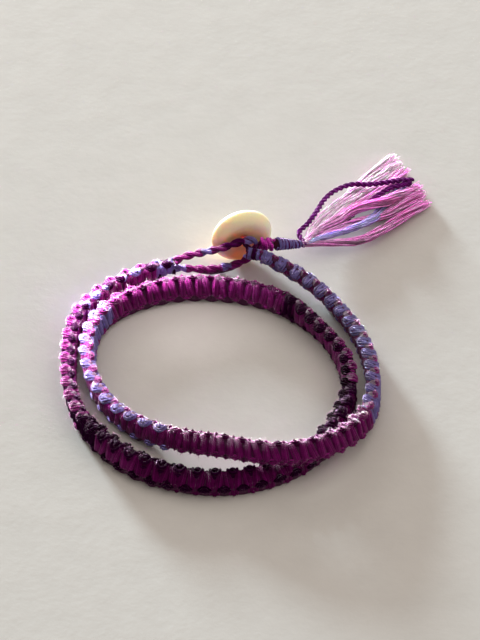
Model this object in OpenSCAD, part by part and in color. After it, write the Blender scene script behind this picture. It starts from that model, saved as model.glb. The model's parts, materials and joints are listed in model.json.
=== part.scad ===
// Wrap bracelet: a square-knotted cord band that goes twice round the wrist, closed by a shell
// button in a loop of two twisted cords, with a whipped tassel where the band's cord ends leave.
// It lies on a surface. Millimetres, +Z up, origin at the bottom centre of the whole piece.

/* [Ring] */
// Mean radius of the two turns
ring_r = 28; // [27:0.5:30]
// Distance of the ring's centre to the left of the origin
ring_left = 6.5; // [0:0.1:12]
// Distance of the ring's centre in front of the origin
ring_front = 16.7; // [0:0.1:24]
// Clock angle where the band leaves the button tie, clockwise from the back
band_start = 15; // [12:1:20]
// Clock angle of the dark bar where the first turn ends and the second begins
bar_clock = 394; // [380:1:400]
// Clock angle of the last knot before the button loop
band_end = 701; // [690:1:705]

/* [Knotted band] */
// Width of the band, over the bumps at both edges
band_w = 5.5; // [4.5:0.1:6]
// Thickness of the band, over the bars of both faces
band_t = 3.2; // [2.4:0.1:3.4]
// Length of one full square knot along the band
knot_pitch = 3.6; // [3:0.1:5]
// Depth of the notch between two bumps of one edge
edge_notch = 0.4; // [0:0.1:0.8]
// Depth of the groove between two bars of one face, both faces together
face_groove = 0.4; // [0:0.1:0.6]

/* [Button] */
// Diameter of the shell button
button_d = 13; // [11:0.5:14]
// Thickness of the shell button at its middle
button_t = 4.7; // [3.5:0.1:5]
// Lean of the standing button, its upper edge towards the ring
button_lean = 4; // [-12:1:8]
// Turn of the button about the vertical, its left edge towards the ring
button_turn = 17; // [0:1:20]
// Diameter of the hole that the tie cord goes into
button_hole_d = 2; // [1.8:0.1:2.4]

/* [Tie and whipping] */
// Diameter of the wound tie between the band and the button
tie_d = 2.9; // [2.4:0.1:3.2]
// Diameter of the cord that holds the button
tie_cord_d = 1.6; // [1.2:0.1:1.7]
// Diameter of the knot ahead of the whipping
knot_d = 3; // [2.6:0.1:3.2]
// Diameter of the whipping where it begins
whip_d1 = 2.8; // [2.4:0.1:3]
// Diameter of the whipping where the tassel leaves it
whip_d2 = 1.8; // [1.6:0.1:2.2]
// Number of windings that show on the whipping
whip_turns = 9; // [6:1:12]

/* [Button loop] */
// Diameter of each cord of the loop
loop_cord_d = 1.6; // [1.2:0.1:1.7]

/* [Tassel] */
// Height of the middle of each lock's tip above the surface
tip_height = 1; // [0.8:0.1:2]
// Number of rings along a lock
lock_rings = 10; // [8:1:16]

/* [Hidden] */
$fn = 32;
gap = 0.2;

// The winding, one row every 30 degrees of clock angle, seen from above and clockwise from the back.
// OUT is how far the band's middle lies outside ring_r, LIFT how high its lower edge is above the
// surface, and LEAN how many degrees its upper edge leans away from the ring's centre.
CLOCK = 0;
OUT = 1;
LIFT = 2;
LEAN = 3;
winding = [
    [  0,  3.6, 4.9, -30],
    [ 30,  2.6, 1.8, -28],
    [ 60,  1.4, 0.0, -16],
    [ 90,  2.3, 0.0,   2],
    [120,  5.0, 0.7, -14],
    [150,  4.9, 3.8, -42],
    [180, -1.6, 3.4, -45],
    [210, -3.8, 0.8, -20],
    [240, -3.0, 0.0,   0],
    [270, -1.4, 0.0,   8],
    [300,  0.3, 0.0,  14],
    [330, -1.7, 0.0,  30],
    [360, -4.0, 0.0,  33],
    [390, -4.8, 0.0,  24],
    [420, -5.1, 0.0, -12],
    [450, -2.8, 0.0,   6],
    [480,  0.4, 0.0, -20],
    [510,  3.1, 0.0, -68],
    [540,  4.8, 0.0, -68],
    [570,  4.8, 0.0, -38],
    [600,  3.7, 0.0,   0],
    [630,  2.7, 0.0,   6],
    [660,  4.3, 0.0,  10],
    [690,  3.7, 0.5,   8],
    [720,  2.9, 1.6,   0]
];
row_step = winding[1][CLOCK] - winding[0][CLOCK];

// Width of the band against the length from either end: it is drawn in to the cords there.
end_taper = [[0, 0.62], [4, 0.85], [9, 1]];

// Places round the button, from the ring's centre at surface height: +X right, +Y back.
button_at = [4.2, 36.1, 6.6];
knot_at = [9.6, 33.1, 6.7];
whip_from = [11.1, 33.5, 6.4];
whip_to = [16.8, 35.7, 4.4];

// Route of the tie's cord, from the tie into the button's hole.
tie_route = [
    [5.60, 30.9, 6.6],
    [5.70, 31.9, 6.5],
    [5.40, 32.8, 6.4],
    [5.00, 33.6, 6.4],
    [4.55, 34.9, 6.5]
];

// Route of the button loop, from the band's last knot over the tie's cord, round it and back under.
loop_route = [
    [-9.7, 30.0, 4.5],
    [-8.4, 30.5, 5.2],
    [-6.4, 30.7, 5.8],
    [-4.4, 30.8, 6.3],
    [-0.4, 31.2, 7.1],
    [ 2.4, 31.8, 7.8],
    [ 4.6, 32.3, 8.5],
    [ 6.4, 32.8, 8.0],
    [ 7.1, 33.1, 6.6],
    [ 6.8, 32.9, 5.0],
    [ 5.9, 32.7, 3.7],
    [ 4.2, 32.6, 2.3],
    [ 2.2, 32.2, 1.7],
    [-2.3, 31.1, 1.6],
    [-6.4, 30.5, 2.2],
    [-8.4, 30.2, 2.6],
    [-9.7, 30.0, 2.8]
];

// The tassel's locks, one row each, from the end of the whipping to where the tip lies.
// HEADING is the tip's direction in degrees from the right, REACH its distance, BOW how far the
// lock swings to the left half-way, RISE the height of its middle, and FULL its greatest diameter.
HEADING = 0;
REACH = 1;
BOW = 2;
RISE = 3;
FULL = 4;
locks = [
    [58, 38.5,  0.5, 2.4, 2.4],
    [55, 36.5, -0.5, 2.0, 2.6],
    [52, 36.0, -0.5, 2.6, 2.2],
    [47, 34.5,  7.0, 3.6, 1.5],
    [48, 32.5,  0.5, 3.0, 1.6],
    [42, 34.5,  2.5, 2.2, 2.8],
    [38, 33.5,  1.0, 2.0, 2.8],
    [45, 30.5, -2.5, 3.2, 2.2],
    [33, 32.5, -3.0, 2.0, 2.6]
];

// Catmull-Rom curve from b to c through evenly spaced values, at share t.
function smooth(a, b, c, d, t) =
    b + 0.5 * t * (c - a + t * (2 * a - 5 * b + 4 * c - d + t * (3 * (b - c) + d - a)));

// Value of a column of the winding table at a clock angle.
function wound(clock, col) =
    let (last = len(winding) - 1,
         x = (clock - winding[0][CLOCK]) / row_step,
         i = max(0, min(last - 1, floor(x))))
    smooth(winding[max(0, i - 1)][col], winding[i][col],
           winding[i + 1][col], winding[min(last, i + 2)][col], x - i);

// Outline of the band's cross-section, lying: a box of w by t with round edges, as [across, out].
section_sides = 10;
section_round = 0.62;
function soft(v) = sign(v) * pow(abs(v), section_round);
function section(w, t) =
    [for (i = [0 : section_sides - 1])
        let (a = 360 * (i + 0.5) / section_sides)
        [w / 2 * soft(cos(a)) / soft(cos(180 / section_sides)), t / 2 * soft(sin(a))]];

// Height of the band's middle when its lowest point is on the surface.
function rest_height(w, lean) =
    max([for (p = section(w, band_t)) p[1] * sin(lean) - p[0] * cos(lean)]);

function band_middle(clock) =
    let (r = ring_r + wound(clock, OUT))
    [r * sin(clock), r * cos(clock),
     rest_height(band_w, wound(clock, LEAN)) + max(0, wound(clock, LIFT))];

// Length run along the band's middle against clock angle, from the first knot.
run_step = 2;
run = [
    for (c = band_start, s = 0; c <= band_end + run_step;
         s = s + norm(band_middle(c + run_step) - band_middle(c)), c = c + run_step)
    [s, c]
];
run_back = [for (row = run) [row[1], row[0]]];
function clock_after(length) = lookup(length, run);
function length_at(clock) = lookup(clock, run_back);
whole_run = length_at(band_end);

// One ring of the band. The share of a knot sets the bumps: each edge has one bump a knot, half a
// knot apart, and each face two bars a knot.
function band_ring(length, share) =
    let (clock = clock_after(length),
         taper = lookup(min(length, whole_run - length), end_taper),
         w = band_w * taper,
         t = band_t * (1 + taper) / 2 - face_groove * (1 - cos(720 * share)) / 2,
         upper = edge_notch * (1 - cos(360 * share)) / 2,
         lower = edge_notch * (1 + cos(360 * share)) / 2,
         lean = wound(clock, LEAN),
         middle = band_middle(clock),
         radial = [sin(clock), cos(clock), 0],
         up = radial * sin(lean) + [0, 0, cos(lean)],
         out = radial * cos(lean) - [0, 0, sin(lean)])
    [for (p = section(w, t))
        middle + up * (p[0] - (p[0] > 0 ? upper : -lower)) + out * p[1]];

// A solid through rings of points, each ring counter-clockwise as seen from the next one.
module loft(rings) {
    sides = len(rings[0]);
    count = len(rings);
    side_faces = [
        for (k = [0 : count - 2], i = [0 : sides - 1])
        let (here = k * sides, next = here + sides, j = (i + 1) % sides)
        each [[here + i, here + j, next + j], [here + i, next + j, next + i]]
    ];
    first_face = [for (i = [sides - 1 : -1 : 0]) i];
    last_face = [for (i = [0 : sides - 1]) (count - 1) * sides + i];
    polyhedron(
        points = [for (ring = rings) each ring],
        faces = concat(side_faces, [first_face, last_face]),
        convexity = 10
    );
}

// The band between two clock angles, with whole knots and a ring every quarter knot.
rings_per_knot = 4;
module band(from_clock, to_clock) {
    from = length_at(from_clock);
    span = length_at(to_clock) - from;
    steps = round(span / knot_pitch) * rings_per_knot;
    loft([for (k = [0 : steps]) band_ring(from + span * k / steps, k / rings_per_knot)]);
}

// A round tube along a list of points, with its radius at each point.
tube_sides = 8;
function unit(v) = v / norm(v);
function tube_ring(at, way, radius) =
    let (side = unit(cross(way, [0, 0, 1])),
         up = cross(side, unit(way)))
    [for (i = [0 : tube_sides - 1])
        let (a = 360 * (i + 0.5) / tube_sides)
        at + radius * (side * cos(a) + up * sin(a))];

module tube(points, radii) {
    last = len(points) - 1;
    loft([
        for (k = [0 : last])
        tube_ring(points[k], points[min(last, k + 1)] - points[max(0, k - 1)], radii[k])
    ]);
}

// Points of a route with more points put in between on a smooth curve.
function eased(route, parts) =
    let (last = len(route) - 1)
    [for (k = [0 : last * parts])
        let (i = min(last - 1, floor(k / parts)))
        smooth(route[max(0, i - 1)], route[i], route[i + 1], route[min(last, i + 2)],
               k / parts - i)];

// Moves its children from the ring's centre to their place in the whole piece.
module from_ring_centre() {
    translate([-ring_left, -ring_front, 0]) children();
}

// Turns its children's Z axis along a direction.
module along(way) {
    rotate([0, acos(way[2] / norm(way)), atan2(way[1], way[0])]) children();
}

// A rod of cord windings along Z, with its two end diameters.
module windings(length, d1, d2, turns) {
    wind = length / turns;
    groove = wind * 0.3;
    rotate_extrude() polygon(concat(
        [[0, 0]],
        [for (i = [0 : turns - 1], step = [[0, groove], [0.25, 0], [0.75, 0]])
            let (share = (i + step[0]) / turns)
            [(d1 + (d2 - d1) * share) / 2 - step[1], length * share]],
        [[d2 / 2 - groove, length], [0, length]]
    ));
}

module first_turn() {
    color([0.47, 0.13, 0.42]) from_ring_centre() band(band_start, bar_clock);
}

module second_turn() {
    color([0.36, 0.07, 0.34]) from_ring_centre() band(bar_clock, band_end);
}

// A lens with a blind hole in the face that looks at the ring.
button_way = [
    -sin(button_turn) * cos(button_lean),
    cos(button_turn) * cos(button_lean),
    sin(button_lean)
];
module button() {
    hole_depth = button_t * 0.35;
    color([0.95, 0.91, 0.78]) from_ring_centre() translate(button_at) along(button_way)
        difference() {
            rotate_extrude() polygon([
                for (a = [-90 : 10 : 90]) [button_d / 2 * cos(a), button_t / 2 * sin(a)]
            ]);
            translate([0, 0, -button_t])
                cylinder(d = button_hole_d, h = button_t / 2 + hole_depth);
        }
}

// The winding beside the band's first knot, and the cord that runs from it into the button.
tie_length = 3;
module button_tie() {
    way = [-cos(band_start), sin(band_start), 0];
    foot = band_middle(band_start) + unit(way) * gap;
    color([0.3, 0.22, 0.5]) from_ring_centre() {
        translate(foot) along(way) windings(tie_length, tie_d, tie_d, 3);
        points = eased(tie_route, 3);
        tube(points, [for (p = points) tie_cord_d / 2]);
    }
}

module button_loop() {
    color([0.45, 0.08, 0.4]) from_ring_centre() {
        points = eased(loop_route, 2);
        tube(points, [for (p = points) loop_cord_d / 2]);
    }
}

module tassel_knot() {
    way = whip_from - knot_at;
    length = 2 * (norm(way) - gap);
    color([0.55, 0.2, 0.45]) from_ring_centre()
        translate(knot_at - unit(way) * length / 2) along(way)
            windings(length, knot_d, knot_d, 2);
}

module whipping() {
    way = whip_to - whip_from;
    color([0.45, 0.4, 0.7]) from_ring_centre()
        translate(whip_from) along(way) windings(norm(way), whip_d1, whip_d2, whip_turns);
}

// One lock: a curve from the head past the row's middle to its tip, swelling and then thinning.
lock_shape = [[0, 0.4], [0.2, 0.7], [0.5, 1], [0.85, 0.85], [1, 0.5]];
module lock(head, row) {
    ahead = [cos(row[HEADING]), sin(row[HEADING]), 0];
    left = [-ahead[1], ahead[0], 0];
    tip = [head[0], head[1], tip_height] + ahead * row[REACH];
    flat_middle = (head + tip) / 2;
    middle = [flat_middle[0], flat_middle[1], row[RISE]] + left * row[BOW];
    pull = 2 * middle - flat_middle;
    shares = [for (k = [0 : lock_rings]) k / lock_rings];
    tube([for (t = shares) head * (1 - t) * (1 - t) + 2 * pull * t * (1 - t) + tip * t * t],
         [for (t = shares) row[FULL] / 2 * lookup(t, lock_shape)]);
}

module tassel() {
    way = unit(whip_to - whip_from);
    head_length = 1.2;
    color([0.75, 0.4, 0.7]) from_ring_centre() {
        translate(whip_to + way * gap) along(way) cylinder(d = whip_d2, h = head_length);
        for (row = locks)
            lock(whip_to + way * (gap + head_length / 2), row);
    }
}

first_turn();
second_turn();
button_tie();
button();
button_loop();
tassel_knot();
whipping();
tassel();
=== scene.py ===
# %% [markdown]
# # A wrap bracelet of knotted cord
# The bracelet is one long band of square knots that goes twice round the wrist. A shell button
# at one end goes through a loop of twisted cord at the other, and the cords that are left over
# hang out of a whipping as a tassel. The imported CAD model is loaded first, as a fixed frame in
# metres. Every piece below is made in that frame, rides on its one body and stands for one of
# its plain solids.

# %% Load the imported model
import json
import math

import bpy
import numpy as np
from mathutils import Matrix, Vector

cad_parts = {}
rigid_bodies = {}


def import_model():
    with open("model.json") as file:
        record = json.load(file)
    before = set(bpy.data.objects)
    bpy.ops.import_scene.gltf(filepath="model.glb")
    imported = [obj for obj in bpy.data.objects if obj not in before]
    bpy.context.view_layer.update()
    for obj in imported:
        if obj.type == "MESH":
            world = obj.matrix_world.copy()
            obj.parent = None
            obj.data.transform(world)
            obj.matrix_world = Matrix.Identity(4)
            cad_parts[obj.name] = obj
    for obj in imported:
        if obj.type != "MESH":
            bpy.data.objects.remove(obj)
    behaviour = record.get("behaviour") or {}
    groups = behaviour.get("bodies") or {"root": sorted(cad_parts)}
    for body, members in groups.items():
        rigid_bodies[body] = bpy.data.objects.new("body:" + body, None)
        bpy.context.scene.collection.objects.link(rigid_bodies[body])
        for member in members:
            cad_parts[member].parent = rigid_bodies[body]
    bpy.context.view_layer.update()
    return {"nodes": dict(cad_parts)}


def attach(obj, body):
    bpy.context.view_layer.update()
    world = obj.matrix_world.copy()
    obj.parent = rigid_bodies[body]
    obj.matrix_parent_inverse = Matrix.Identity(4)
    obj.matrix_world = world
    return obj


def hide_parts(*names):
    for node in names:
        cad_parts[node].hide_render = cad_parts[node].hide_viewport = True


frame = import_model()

MM = 0.001
print("nodes:", sorted(frame["nodes"]))

# %% [markdown]
# ## The band's own line
# The CAD source winds the band by a short table: for every 30 degrees round the ring, how far out
# the band lies, how high, and how much its upper edge leans. The same table is repeated here,
# because the thread has to lie exactly where the solid band is. A smooth curve through the rows
# gives the middle of the band, and its length gives the place of every knot.

# %% Values repeated from the CAD source, in millimetres and degrees
RING_R = 28.0
RING_LEFT, RING_FRONT = 6.5, 16.7
BAND_START, BAR_CLOCK, BAND_END = 15.0, 394.0, 701.0
BAND_W, BAND_T = 5.5, 3.2
KNOT_PITCH = 3.6
SECTION_ROUND = 0.62
ROW_STEP = 30.0
OUT, LIFT, LEAN = 0, 1, 2
WINDING = np.array([
    [3.6, 4.9, -30], [2.6, 1.8, -28], [1.4, 0.0, -16], [2.3, 0.0, 2], [5.0, 0.7, -14],
    [4.9, 3.8, -42], [-1.6, 3.4, -45], [-3.8, 0.8, -20], [-3.0, 0.0, 0], [-1.4, 0.0, 8],
    [0.3, 0.0, 14], [-1.7, 0.0, 30], [-4.0, 0.0, 33], [-4.8, 0.0, 24], [-5.1, 0.0, -12],
    [-2.8, 0.0, 6], [0.4, 0.0, -20], [3.1, 0.0, -68], [4.8, 0.0, -68], [4.8, 0.0, -38],
    [3.7, 0.0, 0], [2.7, 0.0, 6], [4.3, 0.0, 10], [3.7, 0.5, 8], [2.9, 1.6, 0],
], float)


def curve_through(rows, place):
    """Smooth curve through the rows of a table, at places counted in rows."""
    last = len(rows) - 1
    i = np.clip(np.floor(place).astype(int), 0, last - 1)
    a, b, c, d = (rows[np.clip(i + k, 0, last)] for k in (-1, 0, 1, 2))
    t = (place - i).reshape(-1, *[1] * (rows.ndim - 1))
    return b + 0.5 * t * (c - a + t * (2 * a - 5 * b + 4 * c - d + t * (3 * (b - c) + d - a)))


def wound(clock, column):
    """A column of the winding table at clock angles in degrees."""
    return curve_through(WINDING[:, column], clock / ROW_STEP)


def soft_power(v):
    """Turns the points of a circle into those of the band's rounded oblong section."""
    return np.sign(v) * np.abs(v) ** SECTION_ROUND


SECTION_POINTS = 10
corner_step = 360 / SECTION_POINTS
corners = np.radians(corner_step * (np.arange(SECTION_POINTS) + 0.5))
widest = soft_power(math.cos(math.radians(corner_step / 2)))
SECTION_U = BAND_W / 2 * soft_power(np.cos(corners)) / widest
SECTION_V = BAND_T / 2 * soft_power(np.sin(corners))


def band_frame(clock):
    """Middle of the band, and its upward and outward directions, at clock angles."""
    turn, lean = np.radians(clock), np.radians(wound(clock, LEAN))
    r = RING_R + wound(clock, OUT)
    lowest = np.max(SECTION_V[:, None] * np.sin(lean) - SECTION_U[:, None] * np.cos(lean), axis=0)
    radial = np.stack([np.sin(turn), np.cos(turn), 0 * turn], axis=1)
    upright = np.array([0.0, 0.0, 1.0])
    middle = radial * r[:, None] - [RING_LEFT, RING_FRONT, 0]
    middle[:, 2] = lowest + np.maximum(0, wound(clock, LIFT))
    up = radial * np.sin(lean)[:, None] + upright * np.cos(lean)[:, None]
    out = radial * np.cos(lean)[:, None] - upright * np.sin(lean)[:, None]
    return middle, up, out


CLOCK_STEP = 2.0
run_clock = np.arange(BAND_START, BAND_END + 2 * CLOCK_STEP, CLOCK_STEP)
steps = np.linalg.norm(np.diff(band_frame(run_clock)[0], axis=0), axis=1)
run_length = np.concatenate([[0], np.cumsum(steps)])
whole_run = np.interp(BAND_END, run_clock, run_length)
bar_run = np.interp(BAR_CLOCK, run_clock, run_length)
print("band length in mm:", round(whole_run, 1), "of which the first turn:", round(bar_run, 1))

# %% [markdown]
# ## Dyes
# Embroidery cotton is dyed in the skein. Magenta, periwinkle and a nearly black aubergine are
# knotted into the band, and the tassel adds plum and two pinks. The colour changes along one cord,
# so it is kept as a colour attribute on the thread's own points, and every cotton finish reads it.

# %% The dyes, and the pale pink painted sheen of loose fibres in the light
MAGENTA = np.array([0.175, 0.002, 0.122])
PERIWINKLE = np.array([0.165, 0.130, 0.390])
AUBERGINE = np.array([0.020, 0.0005, 0.019])
PLUM = np.array([0.085, 0.003, 0.095])
PINK = np.array([0.720, 0.190, 0.510])
LIGHT_PINK = np.array([0.970, 0.480, 0.840])
FIBRE_SHEEN_PINK = np.array([0.85, 0.45, 0.72])

# %% [markdown]
# ## Threads
# A cord here is a flat hank of six-strand cotton, so its look comes from single threads that lie
# side by side. A bevelled curve could draw each one, but then it could not change its colour along
# the way. So one helper lays closed tubes along many paths at once and stores on each point the
# dye, and on each face a UV map: along the thread, and round it.

# %% A helper that makes threads
def unit(v):
    return v / np.maximum(np.linalg.norm(v, axis=-1, keepdims=True), 1e-12)


def around(first, second, angle):
    """Directions at angles from a first direction towards a second one."""
    return first * np.cos(angle)[:, None] + second * np.sin(angle)[:, None]


def along_path(points):
    """Direction of each point of paths (threads, rings, 3)."""
    ahead = np.empty_like(points)
    ahead[:, 1:-1] = points[:, 2:] - points[:, :-2]
    ahead[:, 0] = points[:, 1] - points[:, 0]
    ahead[:, -1] = points[:, -1] - points[:, -2]
    return unit(ahead)


def new_object(name, mesh):
    """An object of a mesh, which is active and the only one selected."""
    for o in bpy.context.view_layer.objects:
        o.select_set(False)
    made = bpy.data.objects.new(name, mesh)
    bpy.context.scene.collection.objects.link(made)
    made.select_set(True)
    bpy.context.view_layer.objects.active = made
    return made


def lay_threads(name, paths, normals, radii, dyes, sides=6):
    """One mesh of closed tubes. paths and normals: (threads, rings, 3) in mm; radii (threads,
    rings); dyes (threads, rings, 3)."""
    paths, normals, radii, dyes = (np.asarray(v) for v in (paths, normals, radii, dyes))
    threads, rings = paths.shape[:2]
    way = along_path(paths)
    n = unit(normals - way * np.sum(normals * way, axis=-1, keepdims=True))
    b = np.cross(way, n)
    a = 2 * math.pi * np.arange(sides) / sides
    ring = around(n[:, :, None], b[:, :, None], a)
    verts = (paths[:, :, None] + ring * radii[:, :, None, None]).reshape(-1, 3) * MM

    first = (np.arange(threads) * rings * sides)[:, None, None]
    k = (np.arange(rings - 1) * sides)[None, :, None]
    i = np.arange(sides)[None, None, :]
    j = (i + 1) % sides
    quads = np.stack([first + k + i, first + k + j, first + k + sides + j,
                      first + k + sides + i], axis=-1).reshape(-1, 4)
    start = (first[:, 0] + np.arange(sides)[::-1]).reshape(-1, sides)
    end = (first[:, 0] + (rings - 1) * sides + np.arange(sides)).reshape(-1, sides)
    mesh = bpy.data.meshes.new(name)
    mesh.from_pydata(verts.tolist(), [], quads.tolist() + start.tolist() + end.tolist())

    length = np.zeros((threads, rings))
    length[:, 1:] = np.cumsum(np.linalg.norm(np.diff(paths, axis=1), axis=-1), axis=1)
    here, ahead = length[:, :-1, None], length[:, 1:, None]
    quad_uv = np.zeros((threads, rings - 1, sides, 4, 2))
    for corner, (u, v) in enumerate([(here, i), (here, i + 1), (ahead, i + 1), (ahead, i)]):
        quad_uv[..., corner, 0] = u
        quad_uv[..., corner, 1] = v / sides
    cap_uv = np.zeros(4 * threads * sides)
    layer = mesh.uv_layers.new(name="thread")
    layer.data.foreach_set("uv", np.concatenate([quad_uv.ravel(), cap_uv]).astype(np.float32))

    colour = mesh.color_attributes.new(name="dye", type="FLOAT_COLOR", domain="POINT")
    rgba = np.ones((threads, rings, sides, 4))
    rgba[..., :3] = dyes[:, :, None, :]
    colour.data.foreach_set("color", rgba.astype(np.float32).ravel())
    mesh.polygons.foreach_set("use_smooth", [True] * len(mesh.polygons))
    mesh.update()
    print(name, "threads", threads, "triangles", 2 * len(quads) + 2 * threads * (sides - 2))
    return new_object(name, mesh)


def stand_for(piece, node, material):
    """Gives a finished piece its material and body, and hides the CAD node it stands for."""
    piece.data.materials.clear()
    piece.data.materials.append(material)
    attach(piece, "root")
    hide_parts(node)


# %% [markdown]
# ## Cotton
# Cotton floss is a soft twist of fine fibres. It scatters light widely, shows a pale sheen where
# light grazes it, and its two plies draw fine slanting lines along each thread. The dye comes from
# the attribute, a fine noise makes it uneven, and a wave over the thread's own UV map makes the
# lines of the twist. Cotton in a deep dye shines less, so the dye also sets sheen and gloss. Loose
# fibres and the tassel's open floss let more light through than tight knots do.

# %% Helpers for materials
def new_material(name):
    """A material, its node tree and its shader."""
    made = bpy.data.materials.new(name)
    made.use_nodes = True
    return made, made.node_tree, made.node_tree.nodes["Principled BSDF"]


def set_up(tree, node, values=None, links=None):
    """Gives inputs of a node their values, and links outputs of others into it."""
    for socket, value in (values or {}).items():
        node.inputs[socket].default_value = value
    for socket, source in (links or {}).items():
        tree.links.new(source, node.inputs[socket])
    return node


def add_node(tree, kind, values=None, links=None, operation=None):
    node = tree.nodes.new("ShaderNode" + kind)
    if operation:
        node.operation = operation
    return set_up(tree, node, values, links)


def add_ramp(tree, source, stops):
    """The colour of a ramp with stops of (place, colour)."""
    ramp = add_node(tree, "ValToRGB", links={"Fac": source})
    held = ramp.color_ramp.elements
    for k, (at, colour) in enumerate(stops):
        stop = held[k] if k < 2 else held.new(at)
        stop.position, stop.color = at, (*colour, 1)
    return ramp.outputs["Color"]


# %% The cotton finish
UNEVEN = (0.72, 1.25)
DYE_DEPTH = 2.8
DARK_GLINT, PALE_GLINT = (0.02, 0.0, 0.02), (1.0, 0.80, 0.97)
DARK_GLOSS = 0.02
PLY_LINES = 2
PLY_RELIEF = 0.06


def cotton(name, sheen=0.2, twist_mm=0.9, lift=0.3, rough=0.7, soft=0.0, gloss=0.25):
    """Cotton in the dye of its attribute; dark dyes shine less than pale ones."""
    made, tree, shader = new_material(name)
    dye = add_node(tree, "Attribute")
    dye.attribute_name = "dye"
    place = add_node(tree, "TexCoord")
    uneven = add_node(tree, "TexNoise", {"Scale": 900.0, "Detail": 3.0},
                      {"Vector": place.outputs["Object"]})
    shade = add_node(tree, "MapRange", {"From Min": 0.3, "From Max": 0.7,
                                        "To Min": UNEVEN[0], "To Max": UNEVEN[1]},
                     {"Value": uneven.outputs["Fac"]})
    tinted = add_node(tree, "VectorMath", None,
                      {0: dye.outputs["Color"], "Scale": shade.outputs["Result"]}, "SCALE")
    depth = add_node(tree, "VectorMath", {1: (DYE_DEPTH,) * 3}, {0: dye.outputs["Color"]},
                     "DOT_PRODUCT").outputs["Value"]
    glint = add_ramp(tree, depth, [(0.2, DARK_GLINT), (1.0, PALE_GLINT)])
    shine = add_node(tree, "MapRange", {"From Min": 0.25, "From Max": 1.0,
                                        "To Min": DARK_GLOSS, "To Max": gloss},
                     {"Value": depth})

    thread_map = add_node(tree, "UVMap")
    thread_map.uv_map = "thread"
    slant = add_node(tree, "Mapping", {"Scale": (1 / twist_mm, 1.0, 1.0)},
                     {"Vector": thread_map.outputs["UV"]})
    split = add_node(tree, "SeparateXYZ", None, {"Vector": slant.outputs["Vector"]})
    turn = add_node(tree, "Math", None, {0: split.outputs["X"], 1: split.outputs["Y"]}, "ADD")
    angle = add_node(tree, "Math", {1: PLY_LINES * 2 * math.pi}, {0: turn.outputs["Value"]},
                     "MULTIPLY")
    plies = add_node(tree, "Math", None, {0: angle.outputs["Value"]}, "SINE")
    bump = add_node(tree, "Bump", {"Strength": lift, "Distance": PLY_RELIEF * MM},
                    {"Height": plies.outputs["Value"]})
    set_up(tree, shader,
           {"Roughness": rough, "Sheen Weight": sheen, "Sheen Roughness": 0.4,
            "Subsurface Weight": soft, "Subsurface Radius": (1.0, 0.45, 0.85),
            "Subsurface Scale": 1.0 * MM, "Specular IOR Level": gloss},
           {"Base Color": tinted.outputs["Vector"], "Sheen Tint": glint, "Specular Tint": glint,
            "Specular IOR Level": shine.outputs["Result"], "Normal": bump.outputs["Normal"]})
    return made


COTTON = cotton("knotting_cotton")
FUZZ = cotton("loose_fibres", sheen=0.0, lift=0.0, rough=0.8, soft=0.6, gloss=0.05)
FLOSS = cotton("tassel_floss_cotton", sheen=0.25, twist_mm=1.6, lift=0.2, soft=0.9)

# %% [markdown]
# ## How a square knot runs
# In a band of square knots one cord always crosses the outer face and the other the inner face.
# At each edge a cord turns round the other one and comes a little way onto the other face, where
# it shows as a bump. So a cord's place is an angle round the band's section that swings to and
# fro once a knot, while it moves on along the band mostly at the edges and hardly in the bars.
# Each cord is a hank of six threads: flat in the bars, and gathered into a round in the bumps.
#
# The knots are not all alike. Where a cord was pulled hard its bumps sink, and those of the other
# cord stand out. In some stretches deep pits part the bars, and in one the bumps lie broad over
# the edge. Tables against the clock angle say where, as the photograph shows it. The pits, and in
# the broad stretch the other cord's bar tops between the bumps, are darkened in the dye as painted
# shade.

# %% Numbers of the knots, in millimetres and degrees
RINGS_PER_KNOT = 26
THREADS, THREAD_R = 6, 0.2
DWELL = 1.6
EDGE_DRIFT = 0.2
# How far a bump reaches past the edge: any bump, more if it stands out, more if it is broad
WRAP_OVER, ROLL, DROOP = 44.0, 9.0, 12.0
# A bump stands proud, swells if it stands out, and sinks over a width if it doesn't
PROUD, PROUD_MORE, PROUD_BROAD = 0.30, 0.8, 1.2
SWELL, SINK, SINK_WIDE = 0.18, 0.5, math.radians(40)
# At the lower edge bumps are flatter; the step says how sharply that edge is told from the upper
LOWER_EDGE, LOWER_SINK, LOWER_STEP = 0.75, 0.4, 6
# A cord dives under the other one just before the edge
DIVE, DIVE_AT, DIVE_WIDE = 0.6, math.radians(20), math.radians(22)
# Pits: how far the bars close up, where, how wide, and how much the hank narrows there and is
# darkened by painted shade
PIT, PIT_AT, PIT_WIDE = 0.50, math.radians(42), math.radians(22)
PIT_LOWER, PIT_NARROW, PIT_PLAIN, PIT_PAINTED_SHADE, PIT_FADE = 0.5, 0.15, 0.2, 0.92, 0.6
# The hank, from the middle of a bar at 0 to the edge at 1 and past it: radius and reach round it
HANK_AT = [0.0, 0.4, 0.75, 1.0, 1.45]
HANK_ARC = [1.05, 0.98, 0.58, 0.62, 0.70]
HANK_REACH = [48, 52, 84, 100, 112]
# Places on the hank's scale: where a bump begins, and where painted shade falls on the tips in the pits
# and on the bar tops
AT_BUMP, AT_TIP, AT_BAR_TOP = [0.75, 1.0], [1.30, 1.45], [0.24, 0.38]
CROWDING, CROWD_BEND = 0.5, 0.15
END_TAPER = ([0, 4, 9], [0.62, 0.85, 1.0])
# Unevenness of a hand's work: size of a hank, its slip along the band, a thread's place and depth
PUFF_BY, SLIP_BY, ASIDE_BY, DEEP_BY = 0.10, 0.09, 0.035, 0.03
THICKER_BY, DYE_BY = 0.06, 0.2

# %% Tables of the knots, by clock angle
# Whose bumps stand out: 1 the outer cord's, -1 the inner cord's
NEAR_ROW = ([15, 60, 110, 130, 200, 240, 265, 300, 330, 394, 425, 445, 462, 545, 590, 625, 660,
             701],
            [.9, .8, .6, -.3, -.9, -.8, -.3, 0, .5, .9, .6, .1, -.8, -1, -1, -.3, 0, .5])
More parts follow.
